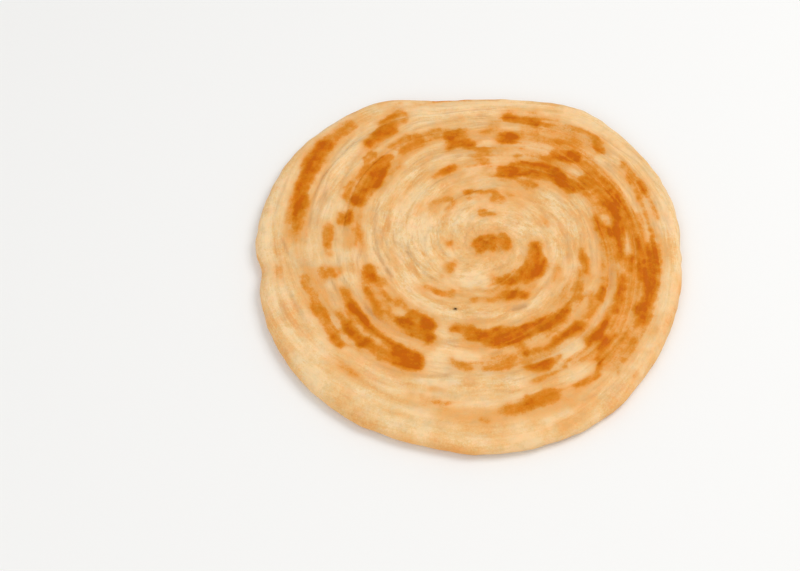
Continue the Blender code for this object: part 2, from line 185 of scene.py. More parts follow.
# Browned patches of the top, each a band along the coil: from and to (degrees about the eye), how
# far from the eye at its start and end (mm), half its width there (mm), and how brown (percent).
# Their places are as seen from the camera's side, as if the top were level with the shoulder.
BROWNED = (
    # The eye and the hook beside it
    (0, 360, 0.6, 0.6, 2, 2, 84), (112, 210, 2.5, 3, 1.5, 1.8, 84), (226, 252, 3.6, 3.6, 1.5, 1.4, 86),
    (-44, 34, 3.5, 3.7, 1.8, 2, 84), (-14, 38, 7.8, 7.9, 2.6, 2.8, 76), (316, 352, 6, 6.4, 1.6, 1.8, 42),
    (0, 60, 4.6, 4.6, 2, 2, 84), (34, 80, 5.8, 4.7, 1.8, 1.4, 76), (70, 120, 4.1, 3.7, 1.4, 1.3, 80),
    (168, 184, 13.9, 13.8, 2, 2, 58), (343, 364, 21.2, 20, 3.7, 2.4, 98),
    (325, 349, 22.9, 21.5, 4.9, 4, 100), (308, 336, 20.8, 23, 4.2, 4.8, 100),
    (295, 318, 18.9, 21.2, 2.9, 4.3, 94), (284, 304, 17.5, 19, 2.2, 2.9, 86),
    (284, 304, 24.6, 28.4, 2.4, 2.5, 94), (258, 286, 26.3, 25.8, 1.4, 1.7, 66),
    (211, 226, 18.2, 18, 2.3, 2.3, 64), (209, 222, 14.9, 15.2, 1.7, 1.7, 56),
    (220, 243, 31, 26.6, 1.7, 2, 60), (119, 139, 27.6, 31, 1.5, 1.3, 55), (119, 132, 24.2, 24.2, 2, 2, 42),
    (78, 107, 26.9, 27.8, 1.1, 1.1, 74), (94, 108, 28, 27.4, 0.7, 0.8, 50), (69, 83, 24, 23.7, 2.6, 2.6, 68),
    (73, 98, 16, 16.5, 2, 1.9, 68), (326, 336, 33.8, 32.8, 2.5, 2.3, 44), (18, 32, 27.4, 27.8, 1, 1, 40),
    (181, 194, 37.4, 36.4, 1.5, 1.4, 34),
    # Right: 0 to 60 degrees
    (2, 22, 60.1, 60.2, 1.7, 1.8, 86), (-8, 13, 63.3, 63, 1.9, 1.6, 66), (19, 32, 58.6, 57.8, 2.3, 1.7, 100),
    (4, 22, 56.2, 56.9, 2, 1.7, 100), (-8, 15, 54, 54, 1.9, 2.3, 82), (4, 14, 51.4, 49.8, 1.8, 2.3, 70),
    (5, 17, 48.2, 46.4, 2.4, 2.2, 94), (14, 24, 54.6, 53.6, 2, 2.2, 85),
    (16.5, 22, 51.6, 51.6, 1.4, 1.4, 65), (21, 32, 54.4, 53.6, 2.4, 2.6, 76), (30, 41, 58, 57.6, 2.6, 3, 80),
    (38, 46, 59.4, 60, 1.5, 1.4, 72), (40, 48.5, 57.2, 57.6, 1.8, 1.8, 72),
    (33, 41, 53.6, 52.6, 3.4, 3.2, 85), (35, 44, 49.2, 47.6, 2.2, 2.6, 88),
    (29, 44, 61.9, 62.2, 0.7, 0.7, 50), (48.5, 53.5, 58.7, 57.8, 4, 4, 100),
    (52, 59.5, 56.6, 55.4, 3.2, 3.4, 86), (36, 52, 45.6, 46, 2.6, 3.2, 100),
    (50, 63, 46.2, 44.7, 4.2, 4.7, 100), (58, 72, 45.4, 43.4, 1.7, 1.7, 90), (60, 72, 44, 41.4, 4.2, 4, 100),
    (-6, 4, 67.4, 67.6, 2.6, 1.2, 80), (6, 21, 67.2, 67, 1.3, 1.3, 62), (20, 31, 67.8, 69.8, 1.4, 2, 80),
    (30, 38, 72.1, 72.4, 1.6, 1.6, 50), (22, 28, 70.5, 71.6, 1.9, 2.2, 84),
    (27, 36, 69.5, 70.2, 1.3, 1.5, 60), (44, 48.5, 68.7, 70.4, 2.6, 2.6, 85),
    (46.5, 50, 71.4, 72, 2, 2.2, 82), (48.5, 57, 72.8, 72.2, 2, 2.2, 60), (54, 62, 68.6, 68.4, 2, 2, 45),
    (54, 61, 36.4, 35.6, 1.2, 2.4, 66), (58, 68, 35.7, 36, 2.4, 2.2, 68),
    # Far side: 60 to 120 degrees
    (67, 82, 40.3, 38.2, 4.6, 3.4, 100), (65, 76, 43.4, 42.4, 2.4, 2.4, 100),
    (77, 86, 41.8, 41, 0.9, 0.6, 52), (71, 75, 49.3, 48.4, 1.5, 1.5, 48), (70, 83, 67.5, 67.3, 2.3, 2.2, 86),
    (76, 83.5, 56.4, 56, 3.6, 3.8, 94), (58, 68, 60.6, 60, 1.3, 1.1, 34), (84, 95, 50.7, 49.3, 0.8, 0.8, 42),
    (88, 101, 49.9, 51.1, 1, 1, 50), (94, 107, 52.8, 53.6, 2.1, 2.6, 86),
    (97.3, 106, 58.4, 58.8, 3, 3.3, 93), (106, 113, 62.2, 62.6, 1.4, 1.5, 58),
    (111, 117, 62.6, 63, 1.5, 1.9, 76), (115, 127, 59.5, 59.4, 2.4, 2.4, 76),
    (119, 128.5, 64.2, 63.6, 2.5, 2.2, 60), (106, 122, 42, 40.9, 1.9, 1.2, 88),
    (92, 98.5, 46.6, 46.7, 0.7, 0.7, 42), (94, 106, 76.9, 79, 0.9, 0.9, 60),
    (85, 94, 76.6, 76.2, 0.7, 0.7, 40), (107, 116, 78.6, 79.4, 1.2, 1.2, 34),
    # Left: 120 to 180 degrees
    (115.8, 125.6, 76.2, 73.9, 4, 4.3, 94), (121.2, 133.8, 72.4, 71, 3.3, 2.2, 98),
    (119, 127, 74.8, 73.6, 1.8, 1.8, 90), (130, 143, 84.4, 84.6, 3.1, 3.5, 60),
    (141, 152, 84.4, 83.4, 3.9, 4.1, 98), (149, 163, 82.8, 80.2, 4.3, 3.5, 100),
    (159, 173.5, 79.6, 77, 3.3, 2.2, 100), (160, 172, 83, 80.6, 2, 2.4, 56),
    (171, 182, 77, 75.6, 2.4, 1.7, 44), (134, 139.5, 65.6, 65.6, 2, 1.8, 64),
    (129, 137, 59.4, 60, 2, 2.7, 75), (133, 143, 59.4, 57.8, 3.8, 4.2, 96),
    (139, 147.5, 62.4, 62.2, 2.2, 1.8, 88), (140, 150, 59.4, 59, 2, 2, 78),
    (140, 149, 57.2, 57, 1.8, 1.8, 80), (146, 156, 59.4, 58.8, 2.2, 2, 70),
    (130, 138, 53.6, 53.2, 1.8, 1.6, 58), (142.5, 151, 55, 55, 2.8, 3, 94),
    (149, 158.8, 56.2, 56, 3.7, 3.3, 92), (148, 159, 62.8, 61, 1.7, 1.7, 66),
    (163.2, 169.6, 57.7, 58.1, 3, 3.3, 98), (167, 181, 53, 49.2, 1.2, 1.1, 46),
    (171, 184, 64, 62.6, 2.7, 2.2, 80),
    # Near left: 180 to 250 degrees
    (186, 191, 83.4, 83.4, 2.1, 2, 50), (188, 192.5, 66.6, 66, 1.9, 1.9, 55), (189, 194, 63, 62.6, 2, 2, 60),
    (189.5, 194, 59.8, 59.4, 1.5, 1.5, 45), (190.5, 211, 73.2, 71.8, 2.6, 2.3, 66),
    (206, 218, 72.2, 73, 2.6, 2.8, 58), (215.5, 221, 73.4, 73.8, 1.9, 2.2, 76),
    (221, 227, 72, 69.8, 1.4, 1.2, 58), (208, 219, 66.6, 66.4, 2, 2.1, 72),
    (214.5, 225, 66.4, 67.4, 2.1, 2.6, 100), (223, 233, 65.2, 64.4, 2.3, 2.3, 84),
    (199.5, 213, 59.8, 59.4, 1.6, 2.3, 86), (208, 222, 59.1, 60.6, 1.8, 1.6, 100),
    (218, 236, 60, 59.4, 1.6, 1.8, 86), (231, 242, 64.8, 65.6, 2.3, 2.7, 94),
    (234.5, 246.5, 61.7, 61.9, 4.4, 4, 100), (203.5, 213, 51.3, 52.2, 1.4, 1.8, 76),
    (211, 221, 51.8, 53.6, 1.9, 2.2, 70), (191.5, 202, 47.8, 47.8, 2.5, 2.8, 98),
    (198, 207, 44.2, 43.2, 1.5, 1.3, 44), (208.5, 216, 46.6, 46.4, 2, 1.8, 70),
    (217, 228, 44.3, 43.6, 1.8, 1.8, 76), (226.5, 241.5, 49.4, 48.4, 2.8, 4.2, 98),
    (227.5, 243, 44.1, 44.6, 3.8, 3.9, 100), (238, 246, 49.4, 49.4, 3, 2.7, 100),
    (236, 243.5, 47, 47, 3.2, 3.2, 95), (224.5, 231.5, 79.8, 79.2, 1.8, 1.9, 62),
    (255, 260, 76.4, 75.4, 0.9, 0.9, 40), (259, 264, 75, 73.9, 0.8, 0.8, 44),
    (252.5, 258, 70.8, 69.6, 1.4, 1.3, 40),
    # Near side: 250 to 300 degrees
    (251, 264, 41.2, 41.2, 2.2, 2.8, 92), (259, 277, 42.2, 45.2, 3, 4.6, 100),
    (273, 288, 44, 44.4, 5.4, 4.4, 100), (286, 301, 44.4, 44.5, 3.3, 2.9, 98),
    (283.5, 288, 49.8, 49.8, 1.7, 1.6, 70), (255, 265, 57, 58.8, 2.5, 2.3, 62),
    (268.5, 281, 57.8, 58.2, 2.1, 2.1, 62), (269, 279, 56.4, 56.3, 0.8, 0.8, 55),
    (279, 283, 55.2, 54.4, 2, 1.8, 58), (268.3, 271, 81, 81.4, 1.5, 1.5, 60),
    (275, 284, 77, 76.2, 3.6, 3.9, 77), (281, 291.5, 75.4, 74.9, 3.7, 3.3, 70),
    (291, 298, 73.8, 74.4, 1.2, 1, 56), (285, 299, 66.6, 65.4, 1.6, 1.2, 58),
    (293, 301, 66, 63.4, 0.6, 0.6, 45), (299, 311, 62.7, 63, 0.6, 0.7, 45),
    (285.5, 294, 60.6, 61.6, 1.4, 2.9, 94), (290, 299.5, 61.4, 60, 3, 1.5, 98),
    (286, 302, 54.4, 54.4, 1.3, 1.5, 92), (284, 298, 57.6, 56.8, 1.2, 1, 40),
    # Near right: 300 to 360 degrees
    (297, 306, 75.4, 75.2, 1.2, 1.4, 86), (305, 311, 74.2, 69.6, 1.3, 1.7, 88),
    (308, 313, 69.4, 67.4, 2, 1.6, 95), (311, 320, 66.9, 66.5, 1.3, 1.5, 88),
    (310, 323, 71, 70.6, 3.2, 3, 62), (316, 321, 75, 75, 1.1, 1.1, 34), (309, 316, 61, 62, 2, 2.2, 88),
    (313, 322.5, 62.2, 60.4, 1.9, 1.4, 94), (311, 324, 64.6, 63.2, 1.6, 1.4, 56),
    (299.5, 314.5, 53.3, 52.9, 2.5, 2.6, 98), (313, 322, 54.8, 54.4, 0.9, 1, 42),
    (299, 312, 44.8, 44.6, 3.3, 3, 96), (310, 319, 44.1, 44, 2.7, 2.1, 90),
    (317, 331, 44.2, 44.4, 1.4, 0.9, 50), (323, 332, 70.8, 70, 2.1, 2.3, 70),
    (326.5, 336, 59.8, 59.6, 1.8, 2.4, 86), (332, 345, 58.9, 57, 2.6, 2.3, 98),
    (340, 348, 55.4, 54.4, 1.2, 0.9, 60), (328.5, 335.5, 52.2, 51.5, 2.2, 1.8, 90),
    (340, 348, 49.2, 49, 1.3, 1.3, 50), (330.5, 346, 69, 69.3, 2.6, 3.1, 88),
    (344, 361, 67.8, 67.4, 3.6, 3.4, 86), (345, 352, 63.6, 62, 2.2, 2.2, 86),
    (350, 366, 61.3, 60.4, 2, 1.7, 62), (347, 355, 59, 58.8, 1.6, 1.5, 85),
    (351, 366, 54.1, 54.1, 1.6, 1.6, 68), (352, 371, 51, 49, 1.2, 1.6, 62),
    (340, 352, 43, 40.6, 1.6, 1.8, 82), (349, 359, 40, 38.4, 1.9, 1.4, 80),
)
# Where the patches are darkest, given the same way
SCORCHED = (
    (6, 14, 56.2, 56.6, 1.5, 1.3, 140), (21, 31, 56.8, 57.5, 1.5, 1, 100),
    (49, 53, 58.4, 57.8, 3.4, 3.4, 60), (52, 55, 48.5, 47.8, 1.6, 1.4, 80),
    (44, 52, 46.6, 46.4, 1.4, 1.4, 50), (71, 78, 38.6, 38, 2.4, 1.8, 50), (78.5, 81, 56.5, 57.2, 2, 1.6, 50),
    (150, 152.5, 84, 82.4, 2, 2, 70), (145.5, 149, 55, 54.4, 1.5, 1.4, 60),
    (217.5, 221, 60.6, 60.8, 1.2, 1.2, 90), (219, 225, 66.2, 67.4, 1.3, 1.2, 80),
    (237, 242, 62, 63.6, 2.4, 2, 50), (235, 240, 43.2, 44.4, 1.5, 1.5, 90),
    (241, 245, 50.8, 50.8, 1.7, 1.4, 80), (277, 284, 45.2, 45, 1.9, 1.7, 80),
    (265, 270, 43.4, 44.2, 1.7, 1.7, 50), (296, 299, 44.3, 44.3, 1.7, 1.5, 60),
    (311, 316.5, 61.6, 62.4, 1.2, 1.3, 130), (315, 321, 61.6, 60.2, 1.1, 1, 90),
    (337, 343, 68.8, 68.6, 2.1, 2.1, 80), (261, 265, 40.6, 41, 1.5, 1.4, 40),
    (302, 306, 53.4, 53.2, 1.3, 1.3, 40),
)
# Wide, faint tints round them, given the same way
TINTED = (
    # The tints at the rim's very edge, 272 to 298 degrees at 88 to 89 mm and 312 to 350 degrees at 79 to 83
    # mm, are painted shade of the edge
    (-10, 70, 56, 55, 11, 11, 46), (48, 68, 68, 68, 6, 6, 42), (60, 86, 61, 61, 8, 8, 36),
    (75, 94, 46.5, 47, 5, 4.5, 40), (95, 162, 58, 58, 6.5, 6.5, 42), (128, 176, 83, 80, 5, 5, 24),
    (160, 182, 55, 54, 5, 6, 36), (170, 182, 76, 76, 4, 4, 22), (187, 226, 69, 70, 7, 6, 35),
    (199, 248, 58, 57, 8, 9, 30), (200, 222, 48, 48, 5, 5, 45), (187, 195, 62, 62, 6, 6, 35),
    (262, 330, 49, 50, 8, 9, 35), (262, 300, 57, 57, 4, 4, 42), (300, 348, 64, 61, 8, 8, 46),
    (308, 334, 74, 74.5, 4.6, 4.6, 44), (313, 344, 39, 37, 7, 7, 44), (320, 362, 52, 52, 5, 5, 40),
    (240, 270, 82, 82, 6, 6, 14), (246, 300, 78, 80, 5, 5, 24), (208, 236, 90, 90, 3, 3, 16),
    (0, 360, 7, 7, 6, 6, 20), (262, 304, 20, 22, 5, 5, 40), (50, 108, 26, 30, 12, 12, 20),
    (330, 375, 62.6, 62.6, 3, 3, 50), (330, 350, 80, 79, 2, 2, 30), (214, 250, 26, 26, 4, 5, 26),
    (60, 145, 26, 27, 5, 4, 26), (275, 345, 26, 28, 4, 5, 38), (104, 122, 80, 87, 3, 3, 24),
    (84, 90, 64, 60, 4, 6, 42), (116, 134, 85, 88, 3, 3, 14), (272, 298, 89, 88, 3.4, 3.4, 20),
    (40, 80, 74, 72, 3, 3, 28), (10, 32, 70.4, 72.6, 2.6, 2.6, 40), (84, 108, 38, 38, 5, 5, 24),
    (312, 346, 83, 80, 2.4, 2, 30), (26, 64, 76.5, 77.5, 3, 3, 22), (128, 146, 32, 33, 2, 2, 30),
    (-10, 22, 66, 66, 3, 3, 30), (88, 112, 77, 80, 2, 2, 24), (-2, 32, 58.5, 56.5, 6, 6, 62),
    (44, 62, 54, 53, 2.2, 2.2, 40), (132, 152, 41, 43, 4, 4, 24), (222, 242, 25, 25, 3, 3, 30),
    (268, 288, 25, 25, 3, 3, 30),
)
# Pale strips and gaps between them, given the same way
PALE = (
    (136, 180, 73.4, 68.5, 2.4, 2.4, 80), (147, 169, 71.6, 69.6, 2.8, 2.8, 80),
    (150, 180, 87.5, 84, 2.4, 2.4, 60), (179.5, 187, 76, 76, 3.2, 3.2, 80), (180, 187.5, 69, 69, 4, 4, 95),
    (181, 188, 61, 61, 4, 4, 95), (182.5, 188, 53.5, 53.5, 3.5, 3.5, 60), (15, 44, 64.4, 65.2, 1.3, 1.8, 80),
    (2, 9, 66, 65.6, 0.8, 0.8, 40), (-5, 7, 57.8, 57.4, 1, 0.8, 75), (41.5, 47, 53.2, 52.6, 1.3, 1.5, 60),
    (12.5, 16.5, 51, 50.8, 1.7, 1.6, 85), (14, 30, 44.6, 45.6, 1, 1.6, 60),
    (336, 420, 76.6, 76.4, 2.6, 2.6, 40), (60, 70, 56, 55, 2.6, 2.6, 50), (77, 83, 63, 63, 1.5, 1.5, 70),
    (84, 120, 73.5, 72, 3, 5, 70), (107, 128, 55, 52.5, 2, 2.4, 70), (125.5, 130, 61.5, 58.5, 1.2, 1.2, 75),
    (113, 118, 80, 78, 3, 2, 50), (159, 164, 63, 60, 1.8, 1.8, 50), (222, 240, 74, 74, 3.6, 3, 60),
    (210, 218, 89, 89, 4, 4, 60), (208, 256, 87, 86, 6, 5, 60), (204, 222, 79, 79, 2.6, 2.6, 50),
    (235, 246, 79, 78, 3, 3, 50), (240, 262, 68.4, 67, 2.2, 3, 40), (248, 257, 59, 60, 4.6, 4.6, 70),
    (258, 268, 64, 64, 3, 3, 50), (258, 268, 53.6, 53.4, 2, 2, 70), (262, 281, 71.5, 72.5, 3.6, 3, 85),
    (296, 309, 60.4, 59.6, 2.2, 2.6, 90), (295, 306, 69.6, 70.6, 3.2, 2.2, 75),
    (281, 285, 68, 67, 1.6, 1.6, 50), (318, 336, 57, 54.6, 1.1, 1, 80), (298, 345, 34, 35.5, 2.6, 2, 60),
    (246, 272, 16.8, 17.2, 3.6, 3, 90), (318, 345, 28.6, 28, 1.4, 1.4, 50), (342, 366, 46, 45, 1, 1, 50),
    (176, 192, 46.6, 44.6, 1.2, 1, 60), (0, 40, 32.6, 33.4, 1.6, 1.6, 50), (120, 165, 40, 41, 1.8, 1.8, 25),
    # The strip at 272 to 283 degrees, 86 to 89 mm out on the near rim, is a painted highlight
    (190, 214, 33, 33, 2, 2, 50), (232, 250, 36.4, 35.6, 1.6, 1.6, 50), (272, 283, 86, 89, 2.6, 2.6, 50),
    (92, 116, 69.4, 68.4, 1.8, 1.8, 60), (89.5, 97, 64, 64, 2.6, 2.6, 75),
    (194.5, 200, 57, 57.5, 3.4, 3.4, 80), (196, 209, 64.4, 65.4, 2.2, 1.8, 70),
    (200, 212, 55.8, 56, 1.3, 1.2, 60), (97, 106, 63.6, 64, 1.6, 1.6, 60),
    (106, 121, 46.2, 46.2, 2.4, 2.4, 50), (165, 190, 44.4, 43.6, 2, 2, 50), (194, 212, 22, 22, 4, 4, 50),
    (140, 166, 14.5, 15.5, 2.6, 2.6, 50),
)
# The clearest open seams: from and to (degrees about the eye), how far from the eye (mm), half the
# line's width (mm), and how deep (percent); the depth also sets painted shade along the seam
OPEN_SEAMS = (
    (132, 148, 79.8, 76.8, 0.6, 70), (146, 176, 76.9, 72, 0.75, 95), (147, 160, 75.2, 73.9, 0.5, 45),
    (136, 158, 69.8, 65.5, 0.6, 58), (150, 172, 89.8, 87, 0.5, 60), (176, 184, 83.6, 78.4, 0.7, 65),
    (156, 163, 57.9, 56.2, 0.8, 45), (170, 176, 57.7, 57, 0.9, 45), (150, 176, 48.6, 44.9, 0.6, 40),
    (172, 197, 44.9, 40.8, 0.7, 80), (194, 204, 41.2, 39.4, 1, 120), (172, 196, 40, 38.6, 0.6, 45),
    (176, 193, 31.6, 30.6, 0.6, 55), (140, 158, 36, 34.4, 0.6, 40), (107, 130, 49.8, 48, 0.6, 40),
    (98, 124, 38, 37.4, 0.8, 55), (96, 114, 34.4, 34, 0.7, 40), (84, 101, 47, 46.6, 0.6, 70),
    (91, 99, 46.5, 46.6, 0.6, 100), (83, 95, 57.1, 56.9, 0.5, 50), (84, 93, 77, 76.4, 0.5, 70),
    (106, 124, 66.8, 67.4, 0.6, 40), (-4, 14, 47.2, 43.9, 0.6, 70), (342, 366, 44.3, 41.8, 0.7, 50),
    (334, 352, 53.3, 51.2, 0.8, 65), (350, 361, 47.9, 46.8, 0.7, 45), (2, 9, 69.6, 67.4, 0.6, 55),
    (15, 20, 72.5, 73.9, 0.5, 60), (30, 45, 61.8, 62.4, 0.5, 60), (53, 73, 64.3, 60.4, 0.5, 55),
    (60, 67.5, 49.9, 46.7, 0.5, 65), (42, 48, 52.6, 50.6, 0.5, 70), (52, 62, 37, 33.9, 0.5, 50),
    (16, 50, 37.4, 38.6, 0.8, 35), (231, 244, 71.4, 68, 0.7, 55), (242, 259, 68.4, 62.2, 0.8, 70),
    (283, 292, 38.9, 38, 0.8, 70), (287, 301, 32.3, 33.7, 1.1, 130), (270.5, 278, 52.2, 50.6, 1.1, 100),
    (328, 335, 50.2, 48, 0.4, 60), (296, 302, 81.9, 82.5, 0.5, 70), (194, 201, 63.4, 62.6, 0.5, 50),
    (211, 218, 55.9, 55.2, 0.5, 40), (220, 246, 33.4, 31, 0.6, 40), (60, 95, 31.5, 32, 0.6, 35),
    (20, 60, 29, 29.6, 0.7, 45), (15, 55, 25, 25.6, 0.6, 40), (280, 320, 12, 12.6, 0.8, 50),
    (310, 345, 30.6, 30.2, 0.6, 50), (100, 150, 20.4, 21.6, 0.6, 35), (150, 200, 24.4, 24, 0.6, 35),
    (225, 262, 22.4, 22.8, 0.6, 35),
)
# A burnt crumb: its place about the eye, and its size
CRUMB_ANGLE = math.radians(249.2)
CRUMB_RADIUS = 32.8 * MM
CRUMB_SIZE = 0.56 * MM
CRUMB_HEIGHT = 0.35 * MM

# Camera: the bread is seen from above its near side, a little right of the picture's middle.
CAMERA_LENS = 85.0
CAMERA_SENSOR = 36.0
CAMERA_ELEVATION = math.radians(55)
CAMERA_DISTANCE = 754.0 * MM
VIEW_POINT_FROM_EYE = (-6.5 * MM, -13.0 * MM)
TURN_LEFT = math.radians(2.08)
TURN_DOWN = math.radians(0.41)

# Open seams: the raised edge inside each, which also gets a painted highlight, where ends fade from, and how
# far the line strays
SEAM_EDGE_AT = 1.7 * MM
SEAM_EDGE_WIDTH = 1.0 * MM
SEAM_ENDS_FROM = 0.55
SEAM_WANDER = 1.0 * MM

# From a point of the raised top to the level surface that the patches' places are given on
MEAN_RELIEF = 0.5 * MM
READ_STRETCH = 1.0035
READ_SHIFT = 0.13 * MM

# Edges of patches, tints and pale strips: how blunt ends are and how far edges fade at most, in half
# widths, how far edges fade, and the faint ring round each patch
BAND_BLUNT = 0.7
BAND_FADE_MOST = 1.5
BAND_SOFT = 2.1 * MM
BAND_GROWN = 0.2 * MM
BAND_OVERLAP = 0.4
HALO_REACH = 6.0 * MM
HALO_LEVEL = 0.52
TINT_SOFT = 4.5 * MM
PALE_SOFT = 1.5 * MM

# How the browning adds up: what pale strips take away, and what overlaps and scorching add
PALE_OVER_BROWN = 0.5
PALE_OVER_TINT = 0.85
TINT_OVERLAP = 0.25
SCORCH = 0.12

# Browned patches of the underside: where noise starts to tint and to brown, and is brownest
UNDER_TINT_FROM = 0.38
UNDER_BROWN_FROM = 0.51
UNDER_BROWN_TO = 0.76
UNDER_BROWN = 0.68
UNDER_STRIPED = 0.5
UNDER_TINT = 0.3

# How brown the rim's side is, how strong fine streaks are, and what the smooth turn lacks of them
SIDE_BROWN = 0.2
FINE_STREAKS = 1.6
STREAKS_CALM = 0.6

# Tone of the dough, 0 golden and 1 cream: its mean, and how much creamier pale strips and rim are
TONE_MEAN = 0.46
PALE_TONE = 0.35
RIM_TONE = 0.3
RIM_TONE_ANGLE = math.radians(20)
FAR_TONE = 0.3
FAR_TONE_ANGLE = math.radians(95)

# Noises of the crust (scale, detail, roughness), those that follow the coil last, and its bumps
GRAIN = (700.0, 4.0, 0.6)
MOTTLE = (150.0, 3.0, 0.5)
PORES = (1700.0, 2.0, 0.6)
BUMPS = (1300.0, 3.0, 0.65)
HUE_BLOTCHES = (330.0, 2.0, 0.5)
HUE_STREAKS = (260.0, 3.0, 0.6)
FIBRES = (520.0, 3.0, 0.6)
THREADS = (1300.0, 2.0, 0.6)
BUMP_STRENGTH = 0.6
BUMP_HEIGHT = 0.3 * MM

# Screen colours of the dough from golden to cream, and of the crust from pale to darkest brown
DOUGH_COLOURS = (
    (0.0, (230, 162, 86)), (0.3, (236, 181, 112)), (0.6, (239, 195, 134)), (1.0, (247, 213, 163)),
)
CRUST_COLOURS = (
    (0.0, (241, 190, 122)), (0.2, (238, 178, 107)), (0.4, (231, 160, 80)), (0.6, (222, 141, 46)),
    (0.8, (213, 124, 14)), (0.9, (207, 114, 5)), (1.0, (197, 99, 1)),
)
# Soft blotches of the dough: noise scale, where they start and are full, how strong, and colour
DOUGH_BLOTCHES = ((210.0, 0.5, 0.72, 0.22, (236, 182, 146)), (260.0, 0.5, 0.75, 0.4, (214, 182, 130)))
# What the mesh's fields add to the dough: name, how strong, and colour; the dark colour is painted shade in
# creases, grooves and open seams
# The pale field holds pale strips and streaks along with painted highlights on film edges, lips and raised
# seam edges
DOUGH_FIELDS = (("pale_and_highlight", 0.45, (248, 214, 162)), ("crease", 0.75, (198, 152, 102)))
CRUMB_COLOUR = (38, 26, 16)

# Colour shifts of the crust, from cool to warm
HUE_COOL = (0.91, 0.98, 1.06, 1.0)
HUE_WARM = (1.07, 0.98, 0.94, 1.0)

# Gloss of the crust, and light that passes under its skin
ROUGHNESS = 0.54
SPECULAR = 0.08
SUBSURFACE = 0.12
SUBSURFACE_RADIUS = (1.0, 0.55, 0.25)
SUBSURFACE_SCALE = 2.0 * MM

# Floor
FLOOR_SIZE = 6.0
FLOOR_GAP = 0.1 * MM
FLOOR_COLOUR = (0.92, 0.915, 0.90, 1.0)
FLOOR_ROUGHNESS = 0.9

# Light: an even surround, and soft square lights aimed at the bread (name, place, size, power)
WHITE = (1.0, 1.0, 1.0, 1.0)
WORLD_STRENGTH = 0.62
LIGHTS = (("key", (0.75, 0.25, 1.05), 0.7, 6.6), ("fill", (-0.5, -0.9, 1.0), 1.0, 4.0))


def smoothstep(low, high, value):
    """Rise from 0 at low to 1 at high with level ends."""
    share = np.clip((value - low) / (high - low), 0.0, 1.0)
    return share * share * (3.0 - 2.0 * share)


def angle_from(angle, start):
    """Signed turn from one angle to another, within half a turn."""
    return np.mod(angle - start + math.pi, TAU) - math.pi


def bump(value, spread):
    """Bell curve, 1 where value is 0."""
    return np.exp(-(value / spread) ** 2)


def edge_radius(angle):
    """Distance from the eye to the rim, by a closed smooth curve through the outline's radii."""
    radii = np.array(EDGE_RADII_MM) * MM
    place = np.mod(angle, TAU) / TAU * len(radii)
    index = np.floor(place).astype(int)
    t = place - index
    before, start, end, after = (radii[(index + step) % len(radii)] for step in (-1, 0, 1, 2))
    bend = 2.0 * before - 5.0 * start + 4.0 * end - after
    twist = 3.0 * (start - end) + after - before
    return start + 0.5 * t * (end - before + t * (bend + t * twist))


def turn_radius(angle, out):
    """Distance from the eye of a point this share of the way out: round turns, then the outline."""
    radius = out * (MEAN_RADIUS + (edge_radius(angle) - MEAN_RADIUS) * out ** OUTLINE_EASE)
    notch = bump(angle_from(angle, TAIL_ANGLE), TAIL_SPREAD)
    notch = notch * smoothstep(TAIL_NOTCH_FROM, 1.0, out)
    return radius - TAIL_NOTCH * notch


def swayed(angle, out, swells):
    """Waves round the bread and outward, added up."""
    return sum(share * np.sin(around * angle + outward * out + start)
               for share, around, outward, start in swells)


def pleat_place(angle, out):
    """How many seams lie between the rim and this point, counted along the winding."""
    bow = BOW_REACH * bump(angle_from(angle, BOW_ANGLE), BOW_SPREAD) * bump(out - BOW_AT, BOW_WIDTH)
    turned = PLEATS_SIDE_BY_SIDE * np.mod(angle, TAU) / TAU
    return SEAMS_ACROSS * (1.0 - out + bow + swayed(angle, out, SWAYS) * out) - turned


def pleat_profile(share):
    """Height across one pleat, from its outer lip (0) to where the next one covers it (1)."""
    lip = smoothstep(0.0, LIP_WIDTH, share) * (1.0 - LIP_FALL * share)
    groove = bump(1.0 - share, GROOVE_WIDTH)
    half_step = smoothstep(HALF_PLEAT_AT, HALF_PLEAT_AT + LIP_WIDTH, share)
    half_step = half_step * (1.0 - share) / (1.0 - HALF_PLEAT_AT)
    return LIP_HEIGHT * lip - GROOVE_DEPTH * groove + HALF_PLEAT_HEIGHT * half_step


def smooth_turn(angle, out):
    """1 on the near side's wide outer turn."""
    near = bump(angle_from(angle, SMOOTH_TURN_ANGLE), SMOOTH_TURN_SPREAD)
    return near * smoothstep(SMOOTH_TURN_FROM, SMOOTH_TURN_TO, out)


def seam_strength(angle, out):
    """1 where seams are sharp; they fade on the smooth turn, towards the rim and at the eye."""
    towards_rim = 1.0 - smoothstep(SEAMS_FADE_FROM, 1.0, out)
    beyond_eye = smoothstep(0.7, 1.2, out * MEAN_RADIUS / EYE_RADIUS)
    swell = LIP_SHARE + swayed(angle, out, LIP_SWELLS)
    return (1.0 - SMOOTH_TURN_CALM * smooth_turn(angle, out)) * towards_rim * beyond_eye * swell


def eye_curl(angle, out):
    """The end of the rope, one curl in the middle of the coil, slightly proud."""
    radius = out * MEAN_RADIUS
    share = np.mod(-radius / CURL_PITCH - angle / TAU, 1.0)
    lip = smoothstep(0.0, CURL_LIP_WIDTH, share) * (1.0 - share)
    within_eye = 1.0 - smoothstep(0.7, 1.1, radius / EYE_RADIUS)
    off_centre = smoothstep(0.1, 0.35, radius / EYE_RADIUS)
    return CURL_HEIGHT * lip * within_eye * off_centre + EYE_HEIGHT * bump(radius, EYE_SPREAD)


def slow_waves(angle, out):
    """The bread's slow rise and fall, level at the eye and the rim."""
    total = sum(height * out * np.sin(around * angle + outward * TAU * out + start)
                for height, around, outward, start in WAVES)
    return total * (1.0 - smoothstep(WAVES_FADE_FROM, 1.0, out))


def tail_crease(angle, out):
    """1 in the crease that runs in from the notch."""
    crease = bump(angle_from(angle, TAIL_ANGLE) * out, TAIL_SPREAD)
    return crease * smoothstep(TAIL_CREASE_FROM, TAIL_CREASE_TO, out)


